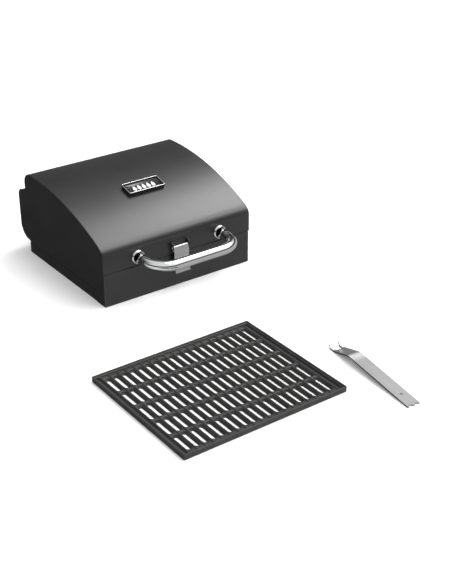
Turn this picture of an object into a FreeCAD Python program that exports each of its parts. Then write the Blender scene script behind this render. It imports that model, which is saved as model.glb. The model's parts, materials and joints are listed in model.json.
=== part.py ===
"""Lidded camp grill box of folded sheet steel, with its cast-iron grate and grate lifter.

Millimetres, +Z up, +X to the user's right, +Y to the rear. Everything is drawn with y = 0 at the
front face of the box, and save() then moves it so that the origin is the middle of the base frame.
The grate and the lifter lie on the same surface as the box, in front of it.
"""

import FreeCAD
import Part
import math
import os

Vector = FreeCAD.Vector
X_AXIS = Vector(1, 0, 0)
Y_AXIS = Vector(0, 1, 0)
Z_AXIS = Vector(0, 0, 1)
SIDES = {"left": -1, "right": 1}

# ---- driving dimensions of the box ----
SHEET = 1.2
LID_HALF_WIDTH = 206.5
SEAM_Z = 82.0
CREASE_Z = 139.2
CREASE_RADIUS = 22.0
LID_REAR_Y = 365.0
LID_REAR_Z = 214.4
LID_MIDDLE = (150.0, 196.6)
LID_REAR_RADIUS = 28.0
LID_REAR_BOTTOM_Z = 166.5
FLANGE_START_Y = 39.0
FLANGE_MIDDLE = (190.0, 145.0)
LID_HEM = 12.0

BODY_TOP_Z = 80.8
FRONT_RETURN = 38.0
FRONT_BEND = 2.0
FRONT_HALF_WIDTH = 205.2
FRONT_HEM_Y = 14.0
BASE_HEIGHT = 26.0
BASE_FLANGE = 25.0
BASE_OPENING_CORNER = 12.0
BASE_REAR_Y = 364.5
CHEEK_UNDERLAP = 12.0
CHEEK_TOP_Y = (30.0, 190.0, 347.0)
CHEEK_FRONT = (16.0, 79.0)

# ---- hinge at the rear, inside the two ears of the side panels ----
PIVOT_Y = 391.0
PIVOT_Z = 148.0
ROD_RADIUS = 3.0
ROD_RUNNING_GAP = 0.05
SADDLE_RADIUS = 9.0
SADDLE_LENGTH = 8.0
SADDLE_FLANGE = (10.5, 2.0)
CLIP_RADIUS = 6.5
CLIP_WIDTH = 1.0
CLIP_FROM_ARM = 8.0
ARM_OUTER_X = 190.5
ARM_PLATE = 2.5
ARM_FOOT_X = 168.0
ARM_FOOT_Z = (169.0, 187.5)
ARM_FOOT_THICKNESS = 2.0
ARM_NECK = 11.1
ARM_CHIN = [(-7.2, 5.6), (0.0, -8.0), (-6.0, -7.0)]
ARM_NECK_TOP = 8.3
ARM_ROOT_TOP = 6.0
ARM_HUB = (9.3, 6.5)
ARM_RIVET_X = (174.0, 184.0)
ARM_RIVET_Z = (174.0, 182.5)
ARM_RIVET_RADIUS = 2.0
REAR_HEM_TOP_Z = 156.0
REAR_HEM_Y = 402.4
REAR_HEM = 7.0
REAR_FOOT_Z = (2.0, 32.0)
REAR_BEND = 3.0
EAR_FOOT_GAP = 0.4
EAR = [(386.0, 31.5), (401.0, 41.5), (410.0, 57.0), (411.0, 112.0), (410.5, 146.0), (403.0, 157.0)]
EAR_TOP = [(377.0, 165.2), (357.0, 165.0)]
EAR_STEP = 2.6
EAR_CORNER = 8.0
EAR_TOP_CORNER = 5.0
REAR_BULGE = [(385.0, 34.0), (399.4, 43.6), (408.2, 58.5), (409.2, 112.0), (408.7, 145.0)]

# ---- handle ----
HANDLE_X = 115.0
HANDLE_Z = 105.5
HANDLE_REACH = 88.0
HANDLE_BEND = 51.0
TUBE_RADIUS = 12.7
TUBE_WALL = 1.5
BEZEL_RADIUS = 17.5
BEZEL_DEPTH = 8.0
BOLT_RADIUS = 4.0
BOLT_ENGAGEMENT = 12.0
BOLT_HEAD_RADIUS = 7.5
BOLT_HEAD_HEIGHT = 5.3
WASHER_RADIUS = 9.0
WASHER_THICKNESS = 1.6
PLUG_LENGTH = 14.0
TUBE_RUN_IN = 4.0
BEZEL_TAPER = 1.8

# ---- latch ----
LATCH_WIDTH = 41.0
LATCH_PIN_Y = -6.5
LATCH_PIN_Z = 102.5
LATCH_PIN_RADIUS = 2.0
LATCH_SHEET = 1.5
LATCH_SHOULDER = (-12.6, 85.5)
LATCH_STEP = (-11.6, 82.0)
LATCH_FLARE = (-13.4, 60.0)
LATCH_LIP = (-17.2, 39.0)
LATCH_RIVET_X = (-7.0, 7.0)
LATCH_RIVET_Z = 70.0
LATCH_RIVET_RADIUS = 1.5
LATCH_BEND = 2.0
PIN_HEAD_RADII = (3.2, 2.2)
PIN_HEAD_HEIGHT = 1.2
SMALL_RIVET_RADIUS = 1.6
BRACKET_RIVET_X = 15.0
BRACKET_RIVET_Z = 91.5
BRACKET_SHEET = 1.5
BRACKET_Z = (86.0, 115.0)
BRACKET_EAR = 2.0
BRACKET_GAP = 0.8
BRACKET_EAR_Y = -11.5
BRACKET_EAR_FOOT = (8.0, 11.0)
BRACKET_EAR_DROP = 2.0
BRACKET_EAR_CORNERS = (5.0, 4.0)
HOOK_SHEET = 1.2
HOOK_HALF_WIDTH = 11.0
HOOK_TOP_Z = 77.0
HOOK_LIP_Z = 57.0
HOOK_LIP_Y = -4.6
HOOK_BEND = 0.6
STRIKE_HALF_WIDTH = 14.0
STRIKE_Z = (48.0, 70.0)
STRIKE_LIP_Z = 60.0
STRIKE_LIP_Y = -8.0
STRIKE_SHEET = 1.2
STRIKE_RIVET_X = (-9.0, 9.0)
STRIKE_RIVET_Z = 66.0

# ---- badge on the lid ----
BADGE_Y = 150.0
BADGE_SIZE = (100.0, 40.0)
BADGE_HEIGHT = 8.6
BADGE_RIM = 1.8
BADGE_RIM_HEIGHT = 1.2
BADGE_WALL = 2.2
BADGE_RECESS = 4.0
BADGE_CORNER = 4.0
STUD_X = 38.0
STUD_RADIUS = 1.5
STUD_REACH = (-5.0, 1.5)
PUSH_NUT_RADIUS = 5.0
PUSH_NUT_THICKNESS = 0.8
PUSH_NUT_GAP = 0.2

# ---- inside the box ----
LEDGE_Z = 70.0
LEDGE_WIDTH = 15.0
LEDGE_UPRIGHT = 16.0
LEDGE_Y = (16.0, 358.0)
TAB_X = (172.0, 186.0, 199.0)
TAB_Y = (60.0, 265.0)
TAB_LENGTH = 30.0
TAB_TOP_Z = 30.0
DEFLECTOR_Z = 30.3
DEFLECTOR_Y = (35.0, 320.0)
DEFLECTOR_HALF_WIDTH = 184.0
DEFLECTOR_LIP = 16.0
DEFLECTOR_SHOULDER = 34.0
DEFLECTOR_RISE = 14.0
DEFLECTOR_SHEET = 1.5
DEFLECTOR_BEND = 2.0
DEFLECTOR_SLOT = (36.0, 6.0)
DEFLECTOR_SLOT_PITCH = (54.0, 47.0)
DEFLECTOR_SLOTS = (5, 6)
DEFLECTOR_FIRST_SLOT_Y = 60.0

# ---- grate and lifter, lying in front of the box ----
GRATE_SIZE = (400.0, 338.0, 12.0)
GRATE_CENTRE = (-191.0, -423.0)
GRATE_RIM = 3.5
GRATE_CORNER = 3.0
GRATE_STEP = (3.0, 9.0)
GRATE_FIELD_Z = 6.5
GRATE_RIDGE = (3.4, 8.4)
GRATE_GROOVE = (186.0, 193.5)
GROOVE_Z = 4.0
SLOT_COLUMNS = 19
SLOT_ROWS = 5
SLOT_PITCH = (19.3, 62.0)
SLOT_WIDTH = 9.2
SLOT_LENGTH = 52.0
POCKET_WIDTH = 13.0
POCKET_LENGTH = 56.0
POCKET_DEPTH = 4.0

LIFTER_END = (81.0, -709.0)
LIFTER_TURN = -5.2
LIFTER_WIDTH = 31.0
LIFTER_SHEET = 3.0
LIFTER_BAR = 200.0
LIFTER_CREST = 15.0
LIFTER_CREST_BEND = 45.0
LIFTER_HEAD = 50.0
LIFTER_ROOT_BEND = 10.0
PRONG_KNEE = (13.0, 2.0)
PRONG_TIP = (22.0, 10.5)
PRONG_WIDTH = 7.0
NOTCH_X = 7.6
NOTCH_RADIUS = 3.6
HANG_HOLE_RADIUS = 3.0
HANG_HOLE_FROM_END = 40.0

# ---- derived sizes, and a length that reaches past every face, for cutting ----
ORIGIN_Y = (SHEET + BASE_REAR_Y) / 2
CHEEK_OUTER = FRONT_HALF_WIDTH - 2 * SHEET
CHEEK_INNER = CHEEK_OUTER - SHEET
BEYOND = 500.0


# ---- small helpers ----
def save(node, shape):
    """Write one node, moved so that the origin is the middle of the base frame's underside."""
    moved = shape.copy()
    moved.translate(Vector(0, -ORIGIN_Y, 0))
    moved.exportStep("parts/" + node + ".step")


def group(solids):
    return Part.makeCompound(solids)


def block(x, y, z):
    """A box from three (low, high) pairs."""
    return Part.makeBox(x[1] - x[0], y[1] - y[0], z[1] - z[0], Vector(x[0], y[0], z[0]))


def mirrored(shape):
    return shape.mirror(Vector(0, 0, 0), X_AXIS)


def across(face, low, high):
    """Extrude a face drawn in the plane x = 0 from x = low to x = high."""
    solid = face.extrude(Vector(high - low, 0, 0))
    solid.translate(Vector(low, 0, 0))
    return solid


def edge_line(a, b):
    return Part.makeLine(Vector(0, *a), Vector(0, *b))


def edge_arc(a, middle, b):
    return Part.Arc(Vector(0, *a), Vector(0, *middle), Vector(0, *b)).toShape()


def rounded_outline(corners):
    """A closed face in the plane x = 0 from (y, z, radius) corners."""
    ends = []
    edges = []
    count = len(corners)
    for i, (y, z, radius) in enumerate(corners):
        here = Vector(0, y, z)
        back = (Vector(0, *corners[i - 1][:2]) - here).normalize()
        ahead = (Vector(0, *corners[(i + 1) % count][:2]) - here).normalize()
        if radius == 0:
            ends.append((here, here))
            continue
        half = back.getAngle(ahead) / 2
        reach = radius / math.tan(half)
        start = here + back * reach
        end = here + ahead * reach
        towards = (back + ahead).normalize()
        top = here + towards * (radius / math.sin(half) - radius)
        edges.append(Part.Arc(start, top, end).toShape())
        ends.append((start, end))
    for i in range(count):
        start = ends[i - 1][1]
        end = ends[i][0]
        if (end - start).Length > 1e-6:
            edges.append(Part.makeLine(start, end))
    return Part.Face(Part.Wire(Part.__sortEdges__(edges)))


def folded(points, thickness, bend):
    """The section of a sheet folded along (y, z) points, lying to the left of their direction."""
    vectors = [Vector(0, *p) for p in points]
    steps = [(b - a).normalize() for a, b in zip(vectors, vectors[1:])]
    lefts = [Vector(0, -s.z, s.y) for s in steps]
    path = []
    offset = []
    for i, here in enumerate(vectors):
        before = lefts[max(i - 1, 0)]
        after = lefts[min(i, len(lefts) - 1)]
        middle = (before + after).normalize()
        side = here + middle * (thickness / middle.dot(after))
        inner = 0.0
        outer = 0.0
        if 0 < i < len(vectors) - 1:
            turn = steps[i - 1].cross(steps[i]).x
            inner = bend + thickness if turn > 0 else bend
            outer = bend if turn > 0 else bend + thickness
        path.append((here.y, here.z, inner))
        offset.append((side.y, side.z, outer))
    return rounded_outline(path + offset[::-1])


def rod(start, axis, radius, length):
    return Part.makeCylinder(radius, length, Vector(*start), axis)


def fillet_at(solid, places, radius):
    """Round the edges that run along X through the (y, z) places."""
    chosen = []
    for edge in solid.Edges:
        middle = edge.valueAt((edge.FirstParameter + edge.LastParameter) / 2)
        for y, z in places:
            if abs(middle.y - y) < 0.01 and abs(middle.z - z) < 0.01:
                chosen.append(edge)
    return solid.makeFillet(radius, chosen)


def rivet(start, axis, radius, grip):
    """A rivet with its shank from start along axis and a low head at each end."""
    start = Vector(*start)
    shank = Part.makeCylinder(radius, grip, start, axis)
    heads = []
    for place, outwards in ((start, axis * -1), (start + axis * grip, axis)):
        heads.append(Part.makeCone(radius * 1.9, radius * 1.1, radius * 0.7, place, outwards))
    return shank.fuse(heads).removeSplitter()


# ---- the lid's side profile ----
def lid_profile():
    """The whole side outline of the closed lid, filled down to below the seam."""
    low = SEAM_Z - 30
    front = (0, CREASE_Z)
    rear = (LID_REAR_Y, LID_REAR_Z)
    edges = [
        edge_line((0, low), front),
        edge_arc(front, LID_MIDDLE, rear),
        edge_line(rear, (LID_REAR_Y, low)),
        edge_line((LID_REAR_Y, low), (0, low)),
    ]
    solid = across(Part.Face(Part.Wire(edges)), 0, 10)
    solid = fillet_at(solid, [front], CREASE_RADIUS)
    solid = fillet_at(solid, [rear], LID_REAR_RADIUS)
    ends = [face for face in solid.Faces if abs(face.CenterOfMass.x) < 1e-6]
    return ends[0]


def below_flange():
    """The region of the side view that lies under the lid's side flange."""
    start = (FLANGE_START_Y, SEAM_Z)
    end = (LID_REAR_Y, LID_REAR_BOTTOM_Z)
    rear = LID_REAR_Y + 20
    corners = [end, (rear, LID_REAR_BOTTOM_Z), (rear, 0), (-20, 0), (-20, SEAM_Z), start]
    edges = [edge_line(a, b) for a, b in zip(corners, corners[1:])]
    edges.append(edge_arc(start, FLANGE_MIDDLE, end))
    return Part.Face(Part.Wire(edges))


def badge_frame():
    """Placement of the badge: its origin on the lid skin, x across, y up the slope, z outward."""
    arc = edge_arc((0, CREASE_Z), LID_MIDDLE, (LID_REAR_Y, LID_REAR_Z)).Curve
    centre = arc.Center
    z = centre.z + math.sqrt(arc.Radius**2 - (BADGE_Y - centre.y) ** 2)
    slope = math.degrees(math.atan2(centre.y - BADGE_Y, z - centre.z))
    return FreeCAD.Placement(Vector(0, BADGE_Y, z), FreeCAD.Rotation(X_AXIS, slope))


# ---- box body ----
def base_frame():
    """A ring of angle section: an upright leg and an inward flange round the burner opening."""
    half = CHEEK_OUTER + SHEET
    leg = block((-half, half), (SHEET, BASE_REAR_Y), (0, BASE_HEIGHT))
    inside = half - SHEET
    leg = leg.cut(block((-inside, inside), (2 * SHEET, BASE_REAR_Y - SHEET), (SHEET, BASE_HEIGHT)))
    opening_x = half - BASE_FLANGE
    opening_y = (SHEET + BASE_FLANGE, BASE_REAR_Y - BASE_FLANGE)
    opening = block((-opening_x, opening_x), opening_y, (0, SHEET))
    corners = [edge for edge in opening.Edges if abs(edge.tangentAt(0).z) > 0.9]
    return leg.cut(opening.makeFillet(BASE_OPENING_CORNER, corners))


def front_panel():
    """The front sheet with a return round each corner and a hem along its top edge."""
    outer = block((-FRONT_HALF_WIDTH, FRONT_HALF_WIDTH), (0, FRONT_RETURN), (0, BODY_TOP_Z))
    upright = [e for e in outer.Edges if abs(e.tangentAt(0).z) > 0.9 and e.CenterOfMass.y < 1]
    outer = outer.makeFillet(FRONT_BEND, upright)
    inside = FRONT_HALF_WIDTH - SHEET
    hollow = block((-inside, inside), (SHEET, FRONT_RETURN), (0, BODY_TOP_Z))
    hem = block((-CHEEK_INNER, CHEEK_INNER), (SHEET, FRONT_HEM_Y), (BODY_TOP_Z - SHEET, BODY_TOP_Z))
    holes = [rod((x, 0, STRIKE_RIVET_Z), Y_AXIS, SMALL_RIVET_RADIUS, SHEET) for x in STRIKE_RIVET_X]
    return outer.cut(hollow).cut(group(holes)).fuse(hem)


def side_panel(side):
    """A cheek that runs up inside the lid's flange, with a rounded ear behind the body."""
    arc = edge_arc((FLANGE_START_Y, SEAM_Z), FLANGE_MIDDLE, (LID_REAR_Y, LID_REAR_BOTTOM_Z)).Curve
    centre = arc.Center
    radius = arc.Radius + CHEEK_UNDERLAP

    def on_arc(y):
        return (y, centre.z + math.sqrt(radius**2 - (y - centre.y) ** 2))

    ear_foot_y = BASE_REAR_Y + 1.5 * SHEET
    ear_foot_z = BASE_HEIGHT + EAR_FOOT_GAP
    ear = [(ear_foot_y, ear_foot_z), (ear_foot_y, ear_foot_z + EAR_STEP)] + EAR + EAR_TOP
    front = [CHEEK_FRONT, (2 * SHEET, CHEEK_FRONT[1]), (2 * SHEET, SHEET)]
    foot = [(BASE_REAR_Y - SHEET, SHEET), (BASE_REAR_Y - SHEET, ear_foot_z)]
    first_y, middle_y, last_y = CHEEK_TOP_Y
    start = on_arc(last_y)
    end = on_arc(first_y)
    points = foot + ear + [start]
    edges = [edge_line(a, b) for a, b in zip(points, points[1:])]
    edges.append(edge_arc(start, on_arc(middle_y), end))
    closing = [end] + front + [foot[0]]
    edges += [edge_line(a, b) for a, b in zip(closing, closing[1:])]
    panel = across(Part.Face(Part.Wire(edges)), CHEEK_INNER, CHEEK_OUTER)
    panel = fillet_at(panel, EAR[:4], EAR_CORNER)
    panel = fillet_at(panel, EAR[4:], EAR_TOP_CORNER)
    return panel if side > 0 else mirrored(panel)


def rear_panel():
    """The folded rear wall: it steps out behind the body and stops under the lid, open at the top."""
    foot_y = BASE_REAR_Y + SHEET
    path = [(foot_y, z) for z in REAR_FOOT_Z] + REAR_BULGE + [(REAR_HEM_Y, REAR_HEM_TOP_Z)]
    wall = across(folded(path, SHEET, REAR_BEND), -CHEEK_INNER, CHEEK_INNER)
    last_y, last_z = REAR_BULGE[-1]
    slant = (last_y - REAR_HEM_Y) / (REAR_HEM_TOP_Z - last_z)
    hem_path = [(REAR_HEM_Y + REAR_HEM * slant, REAR_HEM_TOP_Z - REAR_HEM), (REAR_HEM_Y, REAR_HEM_TOP_Z)]
    hem = across(folded(hem_path, 2 * SHEET, 0.5), -CHEEK_INNER, CHEEK_INNER)
    below_top = block((-BEYOND, BEYOND), (0, BEYOND), (0, REAR_HEM_TOP_Z))
    return wall.common(below_top).fuse(hem.common(below_top)).removeSplitter()


def grate_ledge(side):
    """An angle on the inside of a cheek that carries one side of the grate."""
    upright = block((CHEEK_INNER - SHEET, CHEEK_INNER), LEDGE_Y, (LEDGE_Z - LEDGE_UPRIGHT, LEDGE_Z))
    shelf = block((CHEEK_INNER - LEDGE_WIDTH, CHEEK_INNER), LEDGE_Y, (LEDGE_Z - SHEET, LEDGE_Z))
    ledge = upright.fuse(shelf).removeSplitter()
    return ledge if side > 0 else mirrored(ledge)


def deflector_brackets():
    """Four folded tabs standing on the base flange, with a shelf for the heat deflector."""
    tabs = []
    near_x, riser_x, far_x = TAB_X
    for y in TAB_Y:
        along = (y, y + TAB_LENGTH)
        foot = block((riser_x, far_x), along, (SHEET, 2 * SHEET))
        riser = block((riser_x - SHEET, riser_x), along, (SHEET, TAB_TOP_Z))
        shelf = block((near_x, riser_x), along, (TAB_TOP_Z - SHEET, TAB_TOP_Z))
        tab = foot.fuse([riser, shelf]).removeSplitter()
        tabs += [tab, mirrored(tab)]
    return group(tabs)


def heat_deflector():
    """A removable sheet with sloping sides and rows of slots, over the burner opening."""
    z = DEFLECTOR_Z
    half = DEFLECTOR_HALF_WIDTH
    top = z + DEFLECTOR_RISE
    lip = half - DEFLECTOR_LIP
    shoulder = half - DEFLECTOR_SHOULDER
    outline = [(-half, z), (-lip, z), (-shoulder, top), (shoulder, top), (lip, z), (half, z)]
    section = folded(outline, DEFLECTOR_SHEET, DEFLECTOR_BEND)
    section.rotate(Vector(0, 0, 0), Z_AXIS, -90)
    front, rear = DEFLECTOR_Y
    plate = section.extrude(Vector(0, rear - front, 0))
    plate.translate(Vector(0, front, 0))
    half_x, half_y = (size / 2 for size in DEFLECTOR_SLOT)
    columns, rows = DEFLECTOR_SLOTS
    slots = []
    for row in range(rows):
        for column in range(columns):
            x = (column - (columns - 1) / 2) * DEFLECTOR_SLOT_PITCH[0]
            y = DEFLECTOR_FIRST_SLOT_Y + row * DEFLECTOR_SLOT_PITCH[1]
            slots.append(block((x - half_x, x + half_x), (y - half_y, y + half_y), (z, top + DEFLECTOR_RISE)))
    return plate.cut(group(slots))


# ---- hinge ----
def hinge_rod():
    return rod((-CHEEK_INNER, PIVOT_Y, PIVOT_Z), X_AXIS, ROD_RADIUS, 2 * CHEEK_INNER)


def rod_saddle(side):
    """A turned boss welded inside an ear, which holds one end of the hinge rod."""
    flange_radius, flange_width = SADDLE_FLANGE
    boss = rod((CHEEK_INNER - SADDLE_LENGTH, PIVOT_Y, PIVOT_Z), X_AXIS, SADDLE_RADIUS, SADDLE_LENGTH)
    flange = rod((CHEEK_INNER - flange_width, PIVOT_Y, PIVOT_Z), X_AXIS, flange_radius, flange_width)
    saddle = boss.fuse(flange).cut(rod((0, PIVOT_Y, PIVOT_Z), X_AXIS, ROD_RADIUS, BEYOND))
    return saddle if side > 0 else mirrored(saddle)


def rod_clips():
    """Push-on rings that keep the lid's arms at the ends of the rod."""
    ring = rod((ARM_OUTER_X - CLIP_FROM_ARM, PIVOT_Y, PIVOT_Z), X_AXIS, CLIP_RADIUS, CLIP_WIDTH)
    ring = ring.cut(rod((0, PIVOT_Y, PIVOT_Z), X_AXIS, ROD_RADIUS, BEYOND))
    return group([ring, mirrored(ring)])


def hinge_arm(side):
    """A lid arm: a foot on the lid's rear wall, a narrow neck and a bored hub on the rod."""
    neck_y = PIVOT_Y - ARM_NECK
    outline = [(LID_REAR_Y, ARM_FOOT_Z[1]), (neck_y, ARM_FOOT_Z[1]), (neck_y, PIVOT_Z + ARM_NECK_TOP)]
    outline += [(PIVOT_Y + y, PIVOT_Z + z) for y, z in ARM_CHIN]
    outline.append((LID_REAR_Y, PIVOT_Z + ARM_ROOT_TOP))
    wire = Part.makePolygon([Vector(0, *p) for p in outline + [outline[0]]])
    plate = across(Part.Face(wire), ARM_OUTER_X - ARM_PLATE, ARM_OUTER_X)
    hub_radius, hub_length = ARM_HUB
    hub = rod((ARM_OUTER_X - hub_length, PIVOT_Y, PIVOT_Z), X_AXIS, hub_radius, hub_length)
    foot = block((ARM_FOOT_X, ARM_OUTER_X), (LID_REAR_Y, LID_REAR_Y + ARM_FOOT_THICKNESS), ARM_FOOT_Z)
    arm = plate.fuse([hub, foot]).removeSplitter()
    arm = arm.cut(rod((0, PIVOT_Y, PIVOT_Z), X_AXIS, ROD_RADIUS + ROD_RUNNING_GAP, BEYOND))
    places = [(x, LID_REAR_Y, z) for x, z in arm_rivet_places()]
    arm = arm.cut(group([rod(place, Y_AXIS, ARM_RIVET_RADIUS, ARM_FOOT_THICKNESS) for place in places]))
    return arm if side > 0 else mirrored(arm)


def arm_rivet_places():
    return [(x, z) for x in ARM_RIVET_X for z in ARM_RIVET_Z]


def hinge_arm_rivets():
    solids = []
    for x, z in arm_rivet_places():
        one = rivet((x, LID_REAR_Y - SHEET, z), Y_AXIS, ARM_RIVET_RADIUS, SHEET + ARM_FOOT_THICKNESS)
        solids += [one, mirrored(one)]
    return group(solids)


# ---- lid ----
def lid_skin():
    """Front face, crease, long arched top and rear wall in one sheet, with its fastener holes."""
    profile = lid_profile()
    half = LID_HALF_WIDTH - SHEET
    skin = across(profile.cut(profile.makeOffset2D(-SHEET)), -half, half)
    skin = skin.cut(block((-half, half), (-1, BEYOND), (0, SEAM_Z)))
    skin = skin.cut(block((-half, half), (LID_REAR_Y / 2, BEYOND), (0, LID_REAR_BOTTOM_Z)))
    hem = block((-half, half), (SHEET, LID_HEM), (SEAM_Z, SEAM_Z + SHEET))
    skin = skin.fuse(hem).removeSplitter()
    holes = [rod((x, 0, HANDLE_Z), Y_AXIS, BOLT_RADIUS, SHEET) for x in (-HANDLE_X, HANDLE_X)]
    holes += [rod((x, 0, z), Y_AXIS, SMALL_RIVET_RADIUS, SHEET) for x, z in bracket_rivet_places()]
    for x, z in arm_rivet_places():
        holes += [rod((s * x, LID_REAR_Y - SHEET, z), Y_AXIS, ARM_RIVET_RADIUS, SHEET) for s in (-1, 1)]
    for x in (-STUD_X, STUD_X):
        stud = Part.makeCylinder(STUD_RADIUS, 20, Vector(x, 0, -10))
        stud.Placement = badge_frame().multiply(stud.Placement)
        holes.append(stud)
    return skin.cut(group(holes))


def lid_side(side):
    """The crescent that closes one side of the lid and laps over the cheek."""
    crescent = lid_profile().cut(below_flange())
    plate = across(crescent, LID_HALF_WIDTH - SHEET, LID_HALF_WIDTH)
    return plate if side > 0 else mirrored(plate)


# ---- handle ----
def handle_path():
    """The tube's centre line: out from one bezel, along the bar and back to the other bezel."""
    start = Vector(HANDLE_X, TUBE_RUN_IN, HANDLE_Z)
    bend_start = Vector(HANDLE_X, HANDLE_BEND - HANDLE_REACH, HANDLE_Z)
    centre = bend_start - X_AXIS * HANDLE_BEND
    middle = centre + (X_AXIS - Y_AXIS) * (HANDLE_BEND / math.sqrt(2))
    bend_end = centre - Y_AXIS * HANDLE_BEND

    def flip(p):
        return Vector(-p.x, p.y, p.z)

    edges = [
        Part.makeLine(start, bend_start),
        Part.Arc(bend_start, middle, bend_end).toShape(),
        Part.makeLine(bend_end, flip(bend_end)),
        Part.Arc(flip(bend_end), flip(middle), flip(bend_start)).toShape(),
        Part.makeLine(flip(bend_start), flip(start)),
    ]
    return Part.Wire(edges)


def swept_round(radius):
    """A solid round bar along the handle's centre line, running on a little into the lid."""
    ring = Part.Wire(Part.makeCircle(radius, Vector(HANDLE_X, TUBE_RUN_IN, HANDLE_Z), Y_AXIS))
    return handle_path().makePipeShell([ring], True, False)


def handle_tube():
    """The bent tube, cut square to the lid's front face at both ends."""
    tube = swept_round(TUBE_RADIUS).cut(swept_round(TUBE_RADIUS - TUBE_WALL))
    return tube.cut(block((-BEYOND, BEYOND), (0, BEYOND), (0, BEYOND)))


def handle_bezel(side):
    """A turned ring that covers the foot of the tube."""
    seat = Vector(HANDLE_X, 0, HANDLE_Z)
    cone = Part.makeCone(BEZEL_RADIUS, BEZEL_RADIUS - BEZEL_TAPER, BEZEL_DEPTH, seat, Y_AXIS * -1)
    ring = cone.cut(swept_round(TUBE_RADIUS))
    return ring if side > 0 else mirrored(ring)


def handle_end_plugs():
    """Threaded plugs welded in the ends of the tube."""
    plug = rod((HANDLE_X, -PLUG_LENGTH, HANDLE_Z), Y_AXIS, TUBE_RADIUS + TUBE_WALL, PLUG_LENGTH)
    plug = plug.common(swept_round(TUBE_RADIUS - TUBE_WALL))
    plug = plug.cut(rod((HANDLE_X, -PLUG_LENGTH, HANDLE_Z), Y_AXIS, BOLT_RADIUS, PLUG_LENGTH))
    return group([plug, mirrored(plug)])


def handle_washers():
    ring = rod((HANDLE_X, SHEET, HANDLE_Z), Y_AXIS, WASHER_RADIUS, WASHER_THICKNESS)
    ring = ring.cut(rod((HANDLE_X, SHEET, HANDLE_Z), Y_AXIS, BOLT_RADIUS, WASHER_THICKNESS))
    return group([ring, mirrored(ring)])


def handle_bolts():
    """Hexagon bolts from inside the lid into the plugs."""
    seat = SHEET + WASHER_THICKNESS
    shank = rod((HANDLE_X, -BOLT_ENGAGEMENT, HANDLE_Z), Y_AXIS, BOLT_RADIUS, BOLT_ENGAGEMENT + seat)
    corners = []
    for i in range(7):
        angle = math.radians(60 * i)
        across_x = BOLT_HEAD_RADIUS * math.cos(angle)
        up_z = BOLT_HEAD_RADIUS * math.sin(angle)
        corners.append(Vector(HANDLE_X + across_x, seat, HANDLE_Z + up_z))
    head = Part.Face(Part.makePolygon(corners)).extrude(Vector(0, BOLT_HEAD_HEIGHT, 0))
    bolt = shank.fuse(head).removeSplitter()
    return group([bolt, mirrored(bolt)])


# ---- latch ----
def bracket_rivet_places():
    return [(x, BRACKET_RIVET_Z) for x in (-BRACKET_RIVET_X, BRACKET_RIVET_X)]


def bracket_outer_x():
    return LATCH_WIDTH / 2 + BRACKET_GAP + BRACKET_EAR


def latch_bracket():
    """The bracket on the lid's front: a back plate with an ear each side for the latch pin."""
    outer = bracket_outer_x()
    inner = outer - BRACKET_EAR
    low, high = BRACKET_Z
    root = -BRACKET_SHEET
    back = block((-outer, outer), (root, 0), BRACKET_Z)
    edge = BRACKET_EAR_Y
    foot, toe = BRACKET_EAR_FOOT
    upper, lower = BRACKET_EAR_CORNERS
    corners = [(root, low + foot, 0), (root, high, 0)]
    corners += [(edge, high - BRACKET_EAR_DROP, upper), (edge, low + toe, lower)]
    ear_face = rounded_outline(corners)
    ears = [across(ear_face, inner, outer), across(ear_face, -outer, -inner)]
    bracket = back.fuse(ears).removeSplitter()
    pin = rod((-outer, LATCH_PIN_Y, LATCH_PIN_Z), X_AXIS, LATCH_PIN_RADIUS, 2 * outer)
    holes = [rod((x, root, z), Y_AXIS, SMALL_RIVET_RADIUS, BRACKET_SHEET) for x, z in bracket_rivet_places()]
    return bracket.cut(group([pin] + holes))


def latch_bracket_rivets():
    grip = SHEET + BRACKET_SHEET
    places = [(x, -BRACKET_SHEET, z) for x, z in bracket_rivet_places()]
    return group([rivet(place, Y_AXIS, SMALL_RIVET_RADIUS, grip) for place in places])


def latch_pin():
    """The latch's pin, peened over both ears."""
    outer = bracket_outer_x()
    shank = rod((-outer, LATCH_PIN_Y, LATCH_PIN_Z), X_AXIS, LATCH_PIN_RADIUS, 2 * outer)
    heads = []
    for side in (-1, 1):
        end = Vector(side * outer, LATCH_PIN_Y, LATCH_PIN_Z)
        heads.append(Part.makeCone(*PIN_HEAD_RADII, PIN_HEAD_HEIGHT, end, X_AXIS * side))
    return shank.fuse(heads).removeSplitter()


def through_latch():
    """Direction square to the latch plate's middle panel, from its face to its back."""
    down = Vector(0, LATCH_FLARE[0] - LATCH_STEP[0], LATCH_FLARE[1] - LATCH_STEP[1])
    return Vector(0, -down.z, down.y).normalize()


def on_latch(x, z, depth):
    """The point that lies behind the plate's middle panel by depth, at about height z."""
    share = (z - LATCH_FLARE[1]) / (LATCH_STEP[1] - LATCH_FLARE[1])
    y = LATCH_FLARE[0] + share * (LATCH_STEP[0] - LATCH_FLARE[0])
    return Vector(x, y, z) + through_latch() * depth


def latch_rivet_holes():
    """Two holes square to the plate's middle panel, through the plate and the hook."""
    holes = []
    for x in LATCH_RIVET_X:
        start = on_latch(x, LATCH_RIVET_Z, -5)
        holes.append(Part.makeCylinder(LATCH_RIVET_RADIUS, 15, start, through_latch()))
    return group(holes)


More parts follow.
